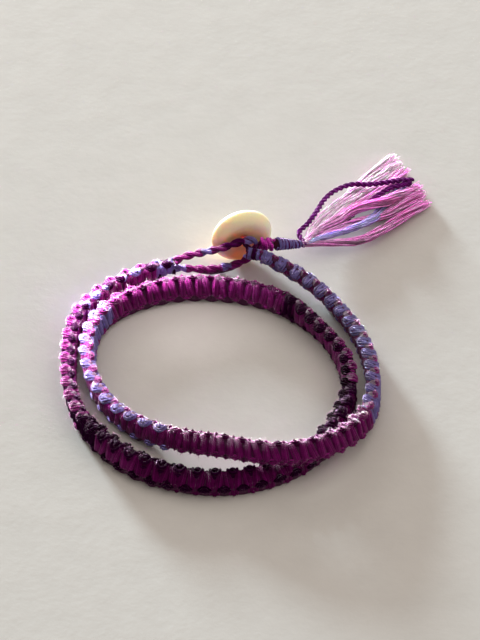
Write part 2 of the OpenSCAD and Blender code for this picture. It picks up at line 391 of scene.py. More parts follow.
# Where they do (1), and where they don't and pits part the bars (-1)
STAND = ([100, 122, 196, 212, 298, 314, 382, 400], [1, -0.9, -0.9, 1, 1, -0.9, -0.9, 1])
# Where they are broad, how far they stand out there, and how much thicker their threads are
BROAD = ([448, 462, 585, 600], [0, 0.5, 0.5, 0])
BROAD_STAND, BROAD_THICKER = 0.9, 0.9


# %% Lay one cord of the band
def wandering(rng, count, per_step, size):
    """A smooth random walk about zero: one value per step, eased in between."""
    knots = rng.normal(0, size, count + 2)
    x = np.arange(count * per_step + 1) / per_step
    i = np.minimum(x.astype(int), count)
    t = x - i
    t = t * t * (3 - 2 * t)
    return knots[i] * (1 - t) + knots[i + 1] * t


def band_cord(name, node_from, node_to, face, dye_of, seed):
    """Threads of the cord whose bars lie on a face: +1 the outer face, -1 the inner one."""
    rng = np.random.default_rng(seed)
    span = node_to - node_from
    knots = round(span / KNOT_PITCH)
    count = knots * RINGS_PER_KNOT + 1
    tau = np.linspace(0, knots, count)
    phase = 0.0 if face > 0 else 0.5

    # The beat goes from 1 at the lower edge to -1 at the upper one and back, once a knot
    beat = np.tanh(DWELL * np.cos(2 * math.pi * (tau + phase))) / math.tanh(DWELL)
    lower = (1 + np.tanh(LOWER_STEP * beat)) / 2

    # What the tables say of each place along this cord
    near = np.interp(node_from + span * tau / knots, run_length, run_clock)
    row = face * np.interp(near, *NEAR_ROW)
    plain = np.clip(-np.interp(near, *STAND), 0, 1)
    stand = np.where(row > 0, row * np.interp(near, *STAND), row)
    full = np.interp(near, *BROAD) / max(BROAD[1])
    stand = np.where(row < 0, stand + (BROAD_STAND - stand) * full, stand)
    stand = stand * (1 - LOWER_EDGE * lower) - LOWER_SINK * lower
    broad = np.interp(near, *BROAD) * (row > 0) * (1 - lower)

    # The angle round the section, and the place along the band
    wrap = np.radians(WRAP_OVER + ROLL * stand + DROOP * full * (row > 0) * (1 - lower))
    swing = (math.pi / 2 + wrap) * beat
    theta = face * (math.pi / 2 + swing)
    past_edge = math.pi / 2 - np.abs(swing)
    drift = EDGE_DRIFT * np.sin(4 * math.pi * tau) / (4 * math.pi)
    closing = np.exp(-((past_edge - PIT_AT) / PIT_WIDE) ** 2) * (1 - PIT_LOWER * lower)
    closing_way = np.sign(np.gradient(np.abs(beat)))
    run = node_from + span * (tau + drift) / knots + PIT * closing * closing_way

    # A point on the section, and the direction out of it
    taper = np.interp(np.minimum(run, whole_run - run), *END_TAPER)
    half_w = BAND_W * taper / 2
    half_t = BAND_T * (1 + taper) / 4
    u = half_w * soft_power(np.cos(theta))
    v = half_t * soft_power(np.sin(theta))
    power = 2 / SECTION_ROUND - 1
    nu = np.sign(u) * np.abs(u / half_w) ** power / half_w
    nv = np.sign(v) * np.abs(v / half_t) ** power / half_t
    size = np.hypot(nu, nv)
    nu, nv = nu / size, nv / size

    # In the band's own flat space: across, out, along
    line = np.stack([u, v, run], axis=1)
    way = along_path(line[None])[0]
    normal = np.stack([nu, nv, 0 * nu], axis=1)
    normal = unit(normal - way * np.sum(normal * way, axis=1, keepdims=True))
    side = np.cross(way, normal)
    bend = np.sum(np.gradient(way, axis=0) * side, axis=1)
    inside = np.tanh(bend / CROWD_BEND)

    # How deep the hank lies, how round it is, and where painted shade darkens its dye
    proud = PROUD * (1 + PROUD_MORE * stand) * (1 - PROUD_BROAD * broad)
    dive = (DIVE * np.exp(-((past_edge - DIVE_AT) / DIVE_WIDE) ** 2)
            - proud * np.exp(-((past_edge + wrap) / DIVE_WIDE) ** 2)
            + SINK * np.maximum(0, -stand) * np.exp(-((past_edge + wrap / 2) / SINK_WIDE) ** 2))
    gathered = 1 - past_edge / (math.pi / 2)
    at_bump = np.interp(gathered, AT_BUMP, [0, 1])
    arc = np.interp(gathered, HANK_AT, HANK_ARC)
    arc = arc * (1 + (SWELL * stand + broad) * at_bump)
    arc = arc * (1 - (PIT_NARROW + PIT_PLAIN * plain) * closing)
    # Painted shade: the dye is darkened on the bump tips in the pits, and in the broad stretch on the
    # other cord's bar tops between the bumps
    painted_pit_shade = plain * (row > 0) * np.interp(gathered, AT_TIP, [0, 1])
    painted_bar_top_shade = full * (row < 0) * np.interp(gathered, AT_BAR_TOP, [0, 1])
    shaded = (painted_pit_shade + painted_bar_top_shade) * (1 - lower)
    reach = np.radians(np.interp(gathered, HANK_AT, HANK_REACH)) * np.minimum(1, taper + 0.1)

    per_half = RINGS_PER_KNOT // 2
    puff = 1 + wandering(rng, knots * 2, per_half, PUFF_BY)
    slip = wandering(rng, knots * 2, per_half, SLIP_BY)
    paths, normals, radii, dyes = [], [], [], []
    for share in np.linspace(-1, 1, THREADS):
        crowd = np.maximum(0, inside * share) * at_bump
        a = reach * share * (1 - CROWDING * crowd)
        across = arc * puff * np.sin(a) + wandering(rng, knots * 2, per_half, ASIDE_BY)
        deep = arc * (1 - np.cos(a)) + np.abs(wandering(rng, knots * 2, per_half, DEEP_BY))
        spot = line - normal * (THREAD_R + deep + dive)[:, None] + side * across[:, None]
        spot[:, 2] += slip
        clock = np.interp(spot[:, 2], run_length, run_clock)
        middle, up, out = band_frame(clock)
        laid = middle + up * spot[:, :1] + out * spot[:, 1:2]
        laid[:, 2] = np.maximum(laid[:, 2], THREAD_R)
        paths.append(laid)
        normals.append(up * normal[:, :1] + out * normal[:, 1:2])
        radii.append(THREAD_R * (1 + THICKER_BY * rng.normal()) * (1 + BROAD_THICKER * broad))
        # The dye is darkened by painted shade in the pits and on those bar tops, besides its random
        # tone
        shadow = np.maximum(shaded, plain * closing * abs(share) ** PIT_FADE)
        bright = (1 + DYE_BY * rng.normal()) * (1 - PIT_PAINTED_SHADE * shadow)
        dyes.append(dye_of(clock) * bright[:, None])
    paths, normals, dyes = np.array(paths), np.array(normals), np.array(dyes)
    fuzz_roots.append((paths, normals, dyes))
    return lay_threads(name, paths, normals, radii, dyes)


# %% [markdown]
# ## Where the colours change
# A knotter swaps cords to bring a new colour to the face, so a stretch of the band has one colour
# in the bars and another in the edge bumps. The tables give the clock angle up to which each dye
# is used. The outer cord makes the bars of the outer face and the bumps of the inner one.

# %% Dye of each cord against the clock angle
# From 465 to 570 degrees the outer cord's magenta is darkened to 0.62 as painted shade on the second
# turn's lower strip, which the first turn shades
OUTER_DYES = [(118, PERIWINKLE), (204, MAGENTA), (305, MAGENTA), (394, MAGENTA), (402, AUBERGINE),
              (465, AUBERGINE), (570, MAGENTA * 0.62), (588, MAGENTA), (660, AUBERGINE),
              (672, PERIWINKLE), (680, AUBERGINE), (690, PERIWINKLE), (800, AUBERGINE)]
INNER_DYES = [(118, MAGENTA), (204, MAGENTA), (305, PERIWINKLE), (396, MAGENTA), (402, AUBERGINE),
              (465, MAGENTA), (599, AUBERGINE), (694, MAGENTA), (800, PERIWINKLE)]


def dyed(table):
    """What gives a cord the dyes of a table."""
    limits = np.array([row[0] for row in table], float)
    colours = np.array([row[1] for row in table])

    def dye_of(clock):
        return colours[np.minimum(np.searchsorted(limits, clock), len(limits) - 1)]
    return dye_of


# %% [markdown]
# ## Fuzz
# Cotton is never quite smooth: short loose fibres stand off every thread, and against a low light
# from behind they draw the pale glow round the band. Each is a bent hair of three sides, half its
# thread's dye and half pale pink, which is painted sheen for the light the fibres scatter forward.
# They grow from the outward side of the threads, in all directions but inwards, and the same helper
# grows them on the tassel.

# %% Grow the fuzz
HAIR_R = 0.016
HAIR_TAPER = [1.2, 0.9, 0.3]
HAIR_SPREAD, HAIR_BEND = 0.75, 0.45
SHORTEST, LONGEST = 0.3, 1.2
FROM_MIDDLE = 0.1
DEEP_DYE, DEEPEST = 0.3, 0.08


def grow_fuzz(name, roots, count, length, seed):
    """Bent hairs on threads given as their paths, outward directions and dyes."""
    rng = np.random.default_rng(seed)
    start, outward, dye = [], [], []
    for paths, normals, dyes in roots:
        flat = rng.integers(0, paths.shape[0] * paths.shape[1], count // len(roots))
        start.append(paths.reshape(-1, 3)[flat])
        outward.append(normals.reshape(-1, 3)[flat])
        dye.append(dyes.reshape(-1, 3)[flat])
    start, outward, dye = (np.concatenate(v) for v in (start, outward, dye))
    many = len(start)
    way = unit(outward + HAIR_SPREAD * rng.normal(size=(many, 3)))
    inward = np.sum(way * outward, axis=1, keepdims=True) < 0.1
    way = np.where(inward, unit(outward + 0.5 * way), way)
    bend = rng.normal(size=(many, 3)) * HAIR_BEND
    reach = length * np.minimum(LONGEST, SHORTEST + rng.gamma(1.5, 0.4, size=(many, 1)))
    t = np.linspace(0, 1, len(HAIR_TAPER))[None, :, None]
    paths = ((start + outward * FROM_MIDDLE)[:, None] + (way * reach)[:, None] * t
             + (bend * reach)[:, None] * t ** 2)
    paths[:, :, 2] = np.maximum(paths[:, :, 2], HAIR_R)
    normals = np.cross(way, rng.normal(size=(many, 3)))[:, None] + 0 * paths
    radii = HAIR_R * np.array(HAIR_TAPER)[None] + np.zeros((many, 1))
    depth = np.clip(np.sum(dye, axis=1, keepdims=True) / DEEP_DYE, DEEPEST, 1)
    # Painted sheen: half of each hair's colour is pale pink, for the light the fibres scatter forward
    dye_and_painted_sheen = (dye * 0.5 + FIBRE_SHEEN_PINK * 0.5) * depth
    return lay_threads(name, paths, normals, radii, dye_and_painted_sheen[:, None] + 0 * paths, sides=3)


# %% The two turns of the band
fuzz_roots = []
END_HOLD = 0.4
BAND_HAIRS, BAND_HAIR = 11000, 0.5
turns = [("first_turn", 0.0, bar_run, "band_first", 11),
         ("second_turn", bar_run, whole_run + END_HOLD, "band_second", 23)]
for node, start, end, slot_name, seed in turns:
    for cord_name, face, table in (("outer_cord", 1, OUTER_DYES), ("inner_cord", -1, INNER_DYES)):
        piece = band_cord(f"{node}_{cord_name}", start, end, face, dyed(table), seed + face)
        stand_for(piece, node, COTTON)
    piece = grow_fuzz(f"{node}_fuzz", fuzz_roots[-2:], BAND_HAIRS, BAND_HAIR, seed + 5)
    stand_for(piece, node, FUZZ)

# %% [markdown]
# ## The cords inside
# The knots are tied round a bundle of straight cords that nobody sees, except between the bumps. A
# copy of the CAD node, with its doubled points merged and its skin drawn in by the thickness of the
# knots, fills that place. Its dark plum is painted shade, for the darkness between the bumps. The
# band's copies reach down to the surface, so that no light comes through underneath, and where that
# low wall shows, its dark colour is painted contact shadow.

# %% Core of each turn, dark with painted shade
# The core's colour is painted shade: a dark plum that stands for the shade between the bumps
CORE_PAINTED_SHADE = (0.060, 0.003, 0.045)
CORE_DEPTH = 0.5
UNDERSIDE, LET_DOWN, OFF_FLOOR = 2.0, 1.6, 0.05


def core_finish():
    made, tree, shader = new_material("hidden_cords_in_painted_shade")
    place = add_node(tree, "TexCoord")
    grain = add_node(tree, "TexNoise", {"Scale": 1500.0}, {"Vector": place.outputs["Object"]})
    uneven = add_ramp(tree, grain.outputs["Fac"], [(0.0, [c * 0.5 for c in CORE_PAINTED_SHADE]),
                                                   (1.0, [c * 1.5 for c in CORE_PAINTED_SHADE])])
    set_up(tree, shader, {"Roughness": 0.9}, {"Base Color": uneven})
    return made


def shrunk_copy(node, name, depth):
    """A copy of a CAD node, merged and drawn in by a depth in millimetres, but let down again
    where it lies near the surface."""
    source = next(o for o in bpy.data.objects if o.get("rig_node") == node or o.name == node)
    core = new_object(name, source.data.copy())
    bpy.ops.object.mode_set(mode="EDIT")
    bpy.ops.mesh.select_all(action="SELECT")
    bpy.ops.mesh.remove_doubles(threshold=1e-6)
    bpy.ops.transform.shrink_fatten(value=-depth * MM, use_even_offset=False)
    bpy.ops.object.mode_set(mode="OBJECT")
    for vert in core.data.vertices:
        low = max(0.0, UNDERSIDE * MM - vert.co.z)
        vert.co.z = max(OFF_FLOOR * MM, vert.co.z - LET_DOWN * low)
    print(name, "faces", len(core.data.polygons))
    return core


CORE = core_finish()
for node, slot_name in (("first_turn", "band_first"), ("second_turn", "band_second")):
    stand_for(shrunk_copy(node, f"{node}_core", CORE_DEPTH), node, CORE)

# %% [markdown]
# ## Routes of the fine cords
# The loop, the tie, the knot and the whipping follow routes like those in the CAD. A route is eased
# into many points, and a frame is carried along it without twisting, so that plies can be wound
# round it.

# %% Helpers for wound cords
def ring_point(p):
    """A point measured from the middle of the ring, in the frame of the whole part."""
    return np.array(p, float) - [RING_LEFT, RING_FRONT, 0]


def eased(route, parts):
    """A smooth line through the points of a route, each stretch in the same number of parts."""
    steps = (len(route) - 1) * parts
    return curve_through(np.array(route, float), np.arange(steps + 1) / parts)


def evenly(points, count):
    """The same line with points at even distances."""
    s = np.concatenate([[0], np.cumsum(np.linalg.norm(np.diff(points, axis=0), axis=1))])
    t = np.linspace(0, s[-1], count)
    return np.stack([np.interp(t, s, points[:, a]) for a in range(3)], axis=1), t


def carried_frame(line):
    """Two directions across a line, carried along it without twist."""
    way = along_path(line[None])[0]
    across = [unit(np.cross(way[0], [0, 0, 1.0]))]
    for k in range(1, len(line)):
        across.append(unit(across[-1] - way[k] * np.dot(across[-1], way[k])))
    across = np.array(across)
    return across, np.cross(way, across)


PLIES = 2
UNTWIST = 0.6
CORD_UNEVEN, CORD_DYE_BY = 0.05, 0.12


def one_dye(colour):
    """A cord that has one dye from end to end."""
    return lambda run: np.tile(colour, (len(run), 1))


def twisted_cord(name, node, route, dye_of, ply_r, pitch, seed, threads=5, thread_r=0.17,
                 hank_r=0.20):
    """Two plies wound round a route, each a ring of threads, in the place of a node."""
    rng = np.random.default_rng(seed)
    line, run = route
    across, upward = carried_frame(line)
    paths, normals, radii, dyes = [], [], [], []
    for p in range(PLIES):
        turn = 2 * math.pi * (run / pitch + p / PLIES)
        away = around(across, upward, turn)
        sideways = around(upward, -across, turn)
        middle = line + away * ply_r
        for k in range(threads):
            a = 2 * math.pi * (k / threads) - turn * UNTWIST
            outward = around(away, sideways, a)
            paths.append(middle + outward * hank_r)
            normals.append(outward)
            radii.append(thread_r * (1 + CORD_UNEVEN * rng.normal()) + 0 * run)
            dyes.append(dye_of(run) * (1 + CORD_DYE_BY * rng.normal()))
    stand_for(lay_threads(name, paths, normals, radii, dyes), node, COTTON)


# %% [markdown]
# ## The button loop
# A twisted cord leaves the last knot, passes over and round the button's tie and comes back under
# it, so that two thin cords show side by side. It is magenta with short stretches of periwinkle
# and a dark one. The twist is real geometry, because its slanting plies make it read as cord.

# %% The loop
LOOP_ROUTE = [
    [-9.7, 30.0, 4.5], [-8.4, 30.5, 5.2], [-6.4, 30.7, 5.8], [-4.4, 30.8, 6.3], [-0.4, 31.2, 7.1],
    [2.4, 31.8, 7.8], [4.6, 32.3, 8.3], [6.4, 32.8, 7.9], [7.1, 33.1, 6.6], [6.8, 32.9, 5.0],
    [5.9, 32.7, 3.7], [4.2, 32.6, 2.3], [2.2, 32.2, 1.7], [-2.3, 31.1, 1.6], [-6.4, 30.5, 2.2],
    [-8.4, 30.2, 2.6], [-9.7, 30.0, 2.8],
]
PARTS = 8
LOOP_LILAC = [(0.16, 0.21), (0.395, 0.46), (0.69, 0.74), (0.94, 2.0)]
LOOP_DARK = (0.29, 0.39)
loop_route = evenly(eased([ring_point(p) for p in LOOP_ROUTE], PARTS), 260)
print("loop length in mm:", round(loop_route[1][-1], 1))


def loop_dye(run):
    share = run / run[-1]
    dark = (share > LOOP_DARK[0]) & (share < LOOP_DARK[1])
    lilac = np.any([(share > a) & (share < b) for a, b in LOOP_LILAC], axis=0)
    dye = np.where(dark[:, None], AUBERGINE * 3, MAGENTA)
    return np.where(lilac[:, None], PERIWINKLE, dye)


twisted_cord("button_loop_cord", "button_loop", loop_route, loop_dye, ply_r=0.40,
             pitch=5.2, seed=31, threads=6, thread_r=0.2, hank_r=0.30)

# %% [markdown]
# ## Windings: the tie, the knot and the whipping
# A winding is a cord laid as a helix round an axis. The tie by the button has three wide turns of
# twisted cord, and the knot ahead of the tassel has nearly three that slant. The whipping is a flat
# hank of three threads in nine close turns, which taper off where the tassel leaves. It is
# periwinkle with dark flecks.

# %% Helpers for windings
def helix(start, end, turns, count, from_angle=0.0):
    """Axis, share along it, angle and outward direction at points of a helix."""
    axis = unit(end - start)
    first = unit(np.cross(axis, [0, 0, 1.0]))
    second = np.cross(axis, first)
    t = np.linspace(0, 1, count)
    a = from_angle + 2 * math.pi * turns * t
    return axis, t, a, around(first, second, a)


COIL_POINTS, COIL_ROUND = 120, 0.12


def coil(start, end, radius, turns, from_angle, tilt=0.0):
    """Points of a helix round the line from start to end, rounded off at both ends."""
    axis, t, a, away = helix(start, end, turns, COIL_POINTS, from_angle)
    swell = radius * (1 - COIL_ROUND * (2 * t - 1) ** 2)
    travel = np.linalg.norm(end - start) * t + tilt * np.sin(a)
    return start + axis * travel[:, None] + away * swell[:, None]


PER_TURN = 28
HANK_DROP, HANK_FILL, SLANT_FROM = 0.18, 0.98, 0.7
WOUND_BY, WOUND_DYE_BY = 0.03, 0.1


def winding(name, start, end, r1, r2, turns, hank, dye_of, thread_r, slant, seed):
    """A flat hank of threads laid as a helix from start to end, with a radius for each end."""
    rng = np.random.default_rng(seed)
    axis, t, a, away = helix(start, end, turns, int(turns * PER_TURN) + 1)
    length = np.linalg.norm(end - start)
    pitch = length / turns
    paths, normals, radii, dyes = [], [], [], []
    for k in range(hank):
        share = (k + 0.5) / hank - 0.5
        drop = (share * 2) ** 2 * HANK_DROP
        travel = (0.5 * pitch + (length - pitch) * t + share * pitch * HANK_FILL
                  + slant * np.sin(a + SLANT_FROM))
        r = r1 + (r2 - r1) * travel / length - thread_r - drop
        r = r + wandering(rng, turns * 4, PER_TURN // 4, WOUND_BY)[:len(t)]
        paths.append(start + axis * travel[:, None] + away * r[:, None])
        normals.append(away)
        radii.append(thread_r * (1 + CORD_UNEVEN * rng.normal()) + 0 * t)
        dyes.append(dye_of(t, k) * (1 + WOUND_DYE_BY * rng.normal()))
    return lay_threads(name, paths, normals, radii, dyes)


# %% The tie, its cord, the knot and the whipping
GAP = 0.2
COIL_R = 0.92
band_first_middle = band_frame(np.array([BAND_START]))[0][0]
tie_way = np.array([-math.cos(math.radians(BAND_START)), math.sin(math.radians(BAND_START)), 0])
tie_foot = band_first_middle + tie_way * GAP


def tie_dye(run):
    share = run / run[-1]
    lilac = (share < 0.30) | (share > 0.62)
    return np.where(lilac[:, None], PERIWINKLE, AUBERGINE * 2)


tie_route = evenly(coil(tie_foot - tie_way * 0.1, tie_foot + tie_way * 2.7, COIL_R,
                        turns=3.2, from_angle=2.0), 150)
twisted_cord("button_tie_winding", "button_tie", tie_route, tie_dye, ply_r=0.24,
             pitch=5.0, seed=41)

TIE_ROUTE = [[5.6, 30.9, 6.6], [5.7, 31.9, 6.5], [5.4, 32.8, 6.4], [5.0, 33.6, 6.4],
             [4.55, 34.9, 6.5]]
tie_route = evenly(eased([ring_point(p) for p in TIE_ROUTE], PARTS), 40)
twisted_cord("button_tie_cord", "button_tie", tie_route, one_dye(AUBERGINE * 3),
             ply_r=0.28, pitch=3.0, seed=43)

knot_at, whip_from, whip_to = (ring_point(p) for p in
                               ([9.6, 33.1, 6.7], [11.1, 33.5, 6.4], [16.8, 35.7, 4.4]))
knot_way = unit(whip_from - knot_at)
knot_half = np.linalg.norm(whip_from - knot_at) - GAP
knot_route = evenly(coil(knot_at - knot_way * (knot_half + 0.2),
                         knot_at + knot_way * (knot_half - 0.2), COIL_R,
                         turns=2.7, from_angle=0.6, tilt=0.3), 130)
twisted_cord("tassel_knot_cord", "tassel_knot", knot_route, one_dye(MAGENTA * 1.8),
             ply_r=0.28, pitch=4.0, seed=47, thread_r=0.18, hank_r=0.22)

FLECKS, FLECK_SHIFT, FLECK_FROM = 43, 2, 0.55


def whipping_dye(t, k):
    """Periwinkle with dark flecks, which shift from thread to thread of the hank."""
    dark = np.sin(FLECKS * t + FLECK_SHIFT * k) > FLECK_FROM
    return np.where(dark[:, None], AUBERGINE * 4, PERIWINKLE)


whip = winding("whipping_cord", whip_from, whip_to, 1.5, 0.8, turns=9, hank=3,
               dye_of=whipping_dye, thread_r=0.17, slant=0.12, seed=53)
stand_for(whip, "whipping", COTTON)

SMALL_CORES = [("button_tie", "tie_cord", 0.35), ("tassel_knot", "knot_cord", 0.45),
               ("whipping", "whipping_cord", 0.4), ("button_loop", "loop_cord", 0.45)]
for node, slot_name, depth in SMALL_CORES:
    stand_for(shrunk_copy(node, f"{node}_core", depth), node, CORE)

# %% [markdown]
# ## The tassel
# Each lock of the tassel is what is left of one cord: a hank of fine threads that leaves the
# whipping tight, opens on its way and ends in a soft cut. The two dark ones stay twisted. The
# threads of a lock keep their places in it, cross a little and end at slightly different lengths.

# %% Lay the locks
# Dye, width and route in millimetres from the whipping to the tip; no width means a twisted cord
LOCKS = [
    (LIGHT_PINK, 2.2, [
        [12.7, 25.1, 3.7], [15.5, 30.6, 3.1], [18.7, 34.8, 2.6], [22.3, 39.7, 2.1], [24.7, 43.7, 1.8],
        [27.6, 47.6, 1.5], [30.8, 52.1, 1.2]]),
    (LIGHT_PINK * 0.92, 2.3, [
        [13.3, 24.0, 3.5], [16.3, 29.0, 2.9], [19.8, 33.9, 2.4], [23.3, 38.8, 1.9], [26.4, 42.5, 1.6],
        [29.1, 46.0, 1.4], [31.8, 49.1, 1.2]]),
    (PINK, 2.0, [
        [13.4, 23.8, 3.8], [16.9, 27.9, 3.3], [20.9, 32.4, 2.7], [24.9, 36.6, 2.2], [28.6, 40.8, 1.8],
        [31.6, 45.0, 1.5], [33.0, 47.6, 1.2]]),
    (PLUM, None, [
        [9.7, 22.6, 4.4], [11.6, 25.8, 4.3], [13.6, 29.9, 4.3], [15.1, 33.4, 4.3], [17.3, 36.4, 4.2],
        [20.8, 38.6, 4.2], [24.5, 38.9, 4.0], [28.0, 39.8, 3.7], [31.5, 41.1, 3.3], [34.3, 41.9, 2.8]]),
    (PLUM, None, [
        [13.5, 22.6, 2.6], [17.0, 26.2, 1.9], [20.6, 30.6, 1.9], [22.6, 33.0, 2.5], [24.6, 34.4, 3.0],
        [28.1, 37.6, 3.2], [30.5, 39.4, 3.0], [33.8, 41.0, 2.5]]),
    (PINK, 2.5, [
        [12.8, 23.3, 3.8], [15.2, 25.7, 3.4], [18.2, 28.1, 3.0], [20.8, 31.1, 3.2], [24.2, 32.5, 3.6],
        [27.8, 34.0, 3.4], [30.5, 36.6, 2.6], [34.0, 39.9, 1.4], [36.2, 41.3, 1.3]]),
    (PINK * 0.9, 2.4, [
        [13.7, 22.3, 3.4], [17.1, 24.9, 2.8], [20.5, 27.8, 2.2], [24.4, 30.0, 1.8], [28.2, 32.1, 1.5],
        [31.3, 34.9, 1.4], [34.3, 37.4, 1.3], [36.9, 39.2, 1.2]]),
    (PERIWINKLE * 1.8, 1.9, [
        [14.3, 21.6, 4.0], [18.5, 23.7, 3.7], [22.1, 26.1, 3.3], [25.6, 30.0, 2.2], [28.0, 34.4, 1.5],
        [30.2, 37.9, 1.6], [33.2, 41.3, 1.8]]),
    (PINK * 0.85, 2.2, [
        [14.1, 20.4, 3.5], [18.3, 21.5, 2.8], [22.1, 22.5, 2.3], [25.3, 24.8, 1.9], [29.0, 28.2, 1.6],
        [34.0, 33.5, 1.3], [37.3, 36.9, 1.1]]),
]
LOCK_SHAPE = ([0, 0.12, 0.4, 0.8, 1], [0.44, 0.62, 0.85, 1.05, 1.15])
LOCK_FLAT = 0.75
FLOSS_RINGS = 30
FLOSS_R = 0.15
STRANDS_PER_MM = 22
TWIST, CROSS_BY, SWAY_BY, SWAYS = 2.6, 0.5, 0.12, 1.5
CRIMP_BY, CRIMP_EVERY = 0.06, 4.5
CUT_BY, TIP = 0.10, ([0, 0.9, 1], [1, 1, 0.45])
FLOSS_UNEVEN, FLOSS_DYE_BY = 0.1, 0.18
TASSEL_HAIRS, TASSEL_HAIR = 3500, 0.4
whip_way = unit(whip_to - whip_from)
tassel_head = whip_to + whip_way * (GAP + 0.4)


def lock_line(route, count):
    return evenly(eased([tassel_head - whip_way * 0.6, tassel_head, *route], 6), count)


rng = np.random.default_rng(71)
paths, normals, dyes, radii = [], [], [], []
for dye, width, route in LOCKS:
    if width is None:
        continue
    line, run = lock_line(route, FLOSS_RINGS)
    across, upward = carried_frame(line)
    t = np.linspace(0, 1, FLOSS_RINGS)
    full = width / 2 * np.interp(t, *LOCK_SHAPE)
    for k in range(int(STRANDS_PER_MM * width)):
        place, spin = math.sqrt(rng.random()), rng.random() * 2 * math.pi
        turn = spin + TWIST * t + CROSS_BY * np.sin(2 * math.pi * (t + rng.random()))
        wave = np.sin(2 * math.pi * (run / CRIMP_EVERY + rng.random()))
        crimp = CRIMP_BY * wave * np.minimum(1, 4 * t)
        sway = SWAY_BY * np.sin(2 * math.pi * (SWAYS * t + rng.random()))
        wide = full * (place + sway) + crimp
        cut = 1 - CUT_BY * rng.random() ** 2
        spot = (line + across * (wide * np.cos(turn))[:, None]
                + upward * (wide * np.sin(turn) * LOCK_FLAT)[:, None])
        spot = np.stack([np.interp(t * cut, t, spot[:, a]) for a in range(3)], axis=1)
        spot[:, 2] = np.maximum(spot[:, 2], FLOSS_R + 0.02)
        paths.append(spot)
        normals.append(across)
        radii.append(FLOSS_R * (1 + FLOSS_UNEVEN * rng.normal()) * np.interp(t, *TIP))
        dyes.append(np.tile(dye * (1 + FLOSS_DYE_BY * rng.normal()), (FLOSS_RINGS, 1)))
paths, dyes = np.array(paths), np.array(dyes)
floss = lay_threads("tassel_floss", paths, normals, radii, dyes, sides=4)
stand_for(floss, "tassel", FLOSS)
anyway = unit(rng.normal(size=paths.shape))
tassel_fuzz = grow_fuzz("tassel_fuzz", [(paths, anyway, dyes)], TASSEL_HAIRS, TASSEL_HAIR, 77)
stand_for(tassel_fuzz, "tassel", FUZZ)

# %% The two dark cords of the tassel
for index, (dye, width, route) in enumerate(LOCKS):
    if width is None:
        twisted_cord(f"tassel_dark_cord_{index}", "tassel", lock_line(route, 170),
                     one_dye(dye), ply_r=0.25, pitch=2.6, seed=80 + index)

# %% [markdown]
# ## The shell button
# The button is a thick disc of shell, turned on a lathe like a smooth pebble, with a small hole in
# the face towards the ring, where its cord ends. So half its outline is drawn and spun round the
# axis, and the disc is then moved to its place and lean. Light goes some way into shell, so its
# material scatters light under the surface. Its colour lies in bands round a point near its lower
# edge, and they are painted light: a painted amber glow of light through the shell, a painted rose
# reflection of the magenta cords and a painted olive shade, out to the shell's cream, which is
# paler towards the top as a painted highlight.

# %% The button's shape
BUTTON_D, BUTTON_T, BUTTON_LEAN, BUTTON_TURN = 13.0, 4.7, 4.0, 17.0
SPIN_STEPS = 64
BUTTON_AT = ring_point([4.2, 36.1, 6.6])
lean, turn = math.radians(BUTTON_LEAN), math.radians(BUTTON_TURN)
button_way = np.array([-math.sin(turn) * math.cos(lean), math.cos(turn) * math.cos(lean),
                       math.sin(lean)])
# Half the outline, from the hole in the front face round the rim to the middle of the back:
# distance from the axis as a share of the radius, place along it as a share of half the thickness
HALF_OUTLINE = [
    (0.0, 0.0), (0.150, -0.02), (0.154, -0.45), (0.185, -0.60), (0.27, -0.62), (0.40, -0.66),
    (0.52, -0.76), (0.61, -0.87), (0.70, -0.90), (0.79, -0.82), (0.88, -0.63), (0.955, -0.36),
    (0.99, -0.14), (1.0, 0.06), (0.985, 0.26), (0.93, 0.48), (0.82, 0.70), (0.66, 0.86),
    (0.45, 0.96), (0.22, 1.0), (0.0, 1.0),
]
mesh = bpy.data.meshes.new("shell_button")
mesh.from_pydata([(r * BUTTON_D / 2 * MM, 0, z * BUTTON_T / 2 * MM) for r, z in HALF_OUTLINE],
                 [(k, k + 1) for k in range(len(HALF_OUTLINE) - 1)], [])
button = new_object("shell_button", mesh)
bpy.ops.object.mode_set(mode="EDIT")
bpy.ops.mesh.select_all(action="SELECT")
bpy.ops.mesh.spin(steps=SPIN_STEPS, angle=2 * math.pi, center=(0, 0, 0), axis=(0, 0, 1))
bpy.ops.mesh.select_all(action="SELECT")
bpy.ops.mesh.remove_doubles(threshold=1e-6)
bpy.ops.mesh.normals_make_consistent(inside=False)
bpy.ops.object.mode_set(mode="OBJECT")
round_it = button.modifiers.new("round", "SUBSURF")
round_it.levels = round_it.render_levels = 1
bpy.ops.object.modifier_apply(modifier="round")
z_to_way = Vector((0, 0, 1)).rotation_difference(Vector(button_way))
button.data.transform(Matrix.Translation(Vector(BUTTON_AT * MM)) @ z_to_way.to_matrix().to_4x4())
bpy.ops.object.shade_smooth()
print("button faces", len(button.data.polygons))

# %% The shell finish
# Painted light: round this centre near the lower edge the colour goes from a painted amber glow,
# through a painted rose reflection and a painted olive shade, to cream that is paler towards the top
PAINTED_GLOW_CENTRE = tuple((BUTTON_AT + [-1.6, 0.0, -5.5]) * MM)
SHELL_REACH, SHELL_DRIFT = 12.0, 1.6
SHELL_PAINTED_LIGHT_BANDS = [
    (0.24, (0.98, 0.58, 0.16)), (0.37, (0.88, 0.62, 0.38)), (0.50, (0.84, 0.62, 0.52)),
    (0.66, (0.74, 0.58, 0.27)), (0.78, (0.93, 0.83, 0.55)), (0.92, (0.97, 0.93, 0.76)),
]


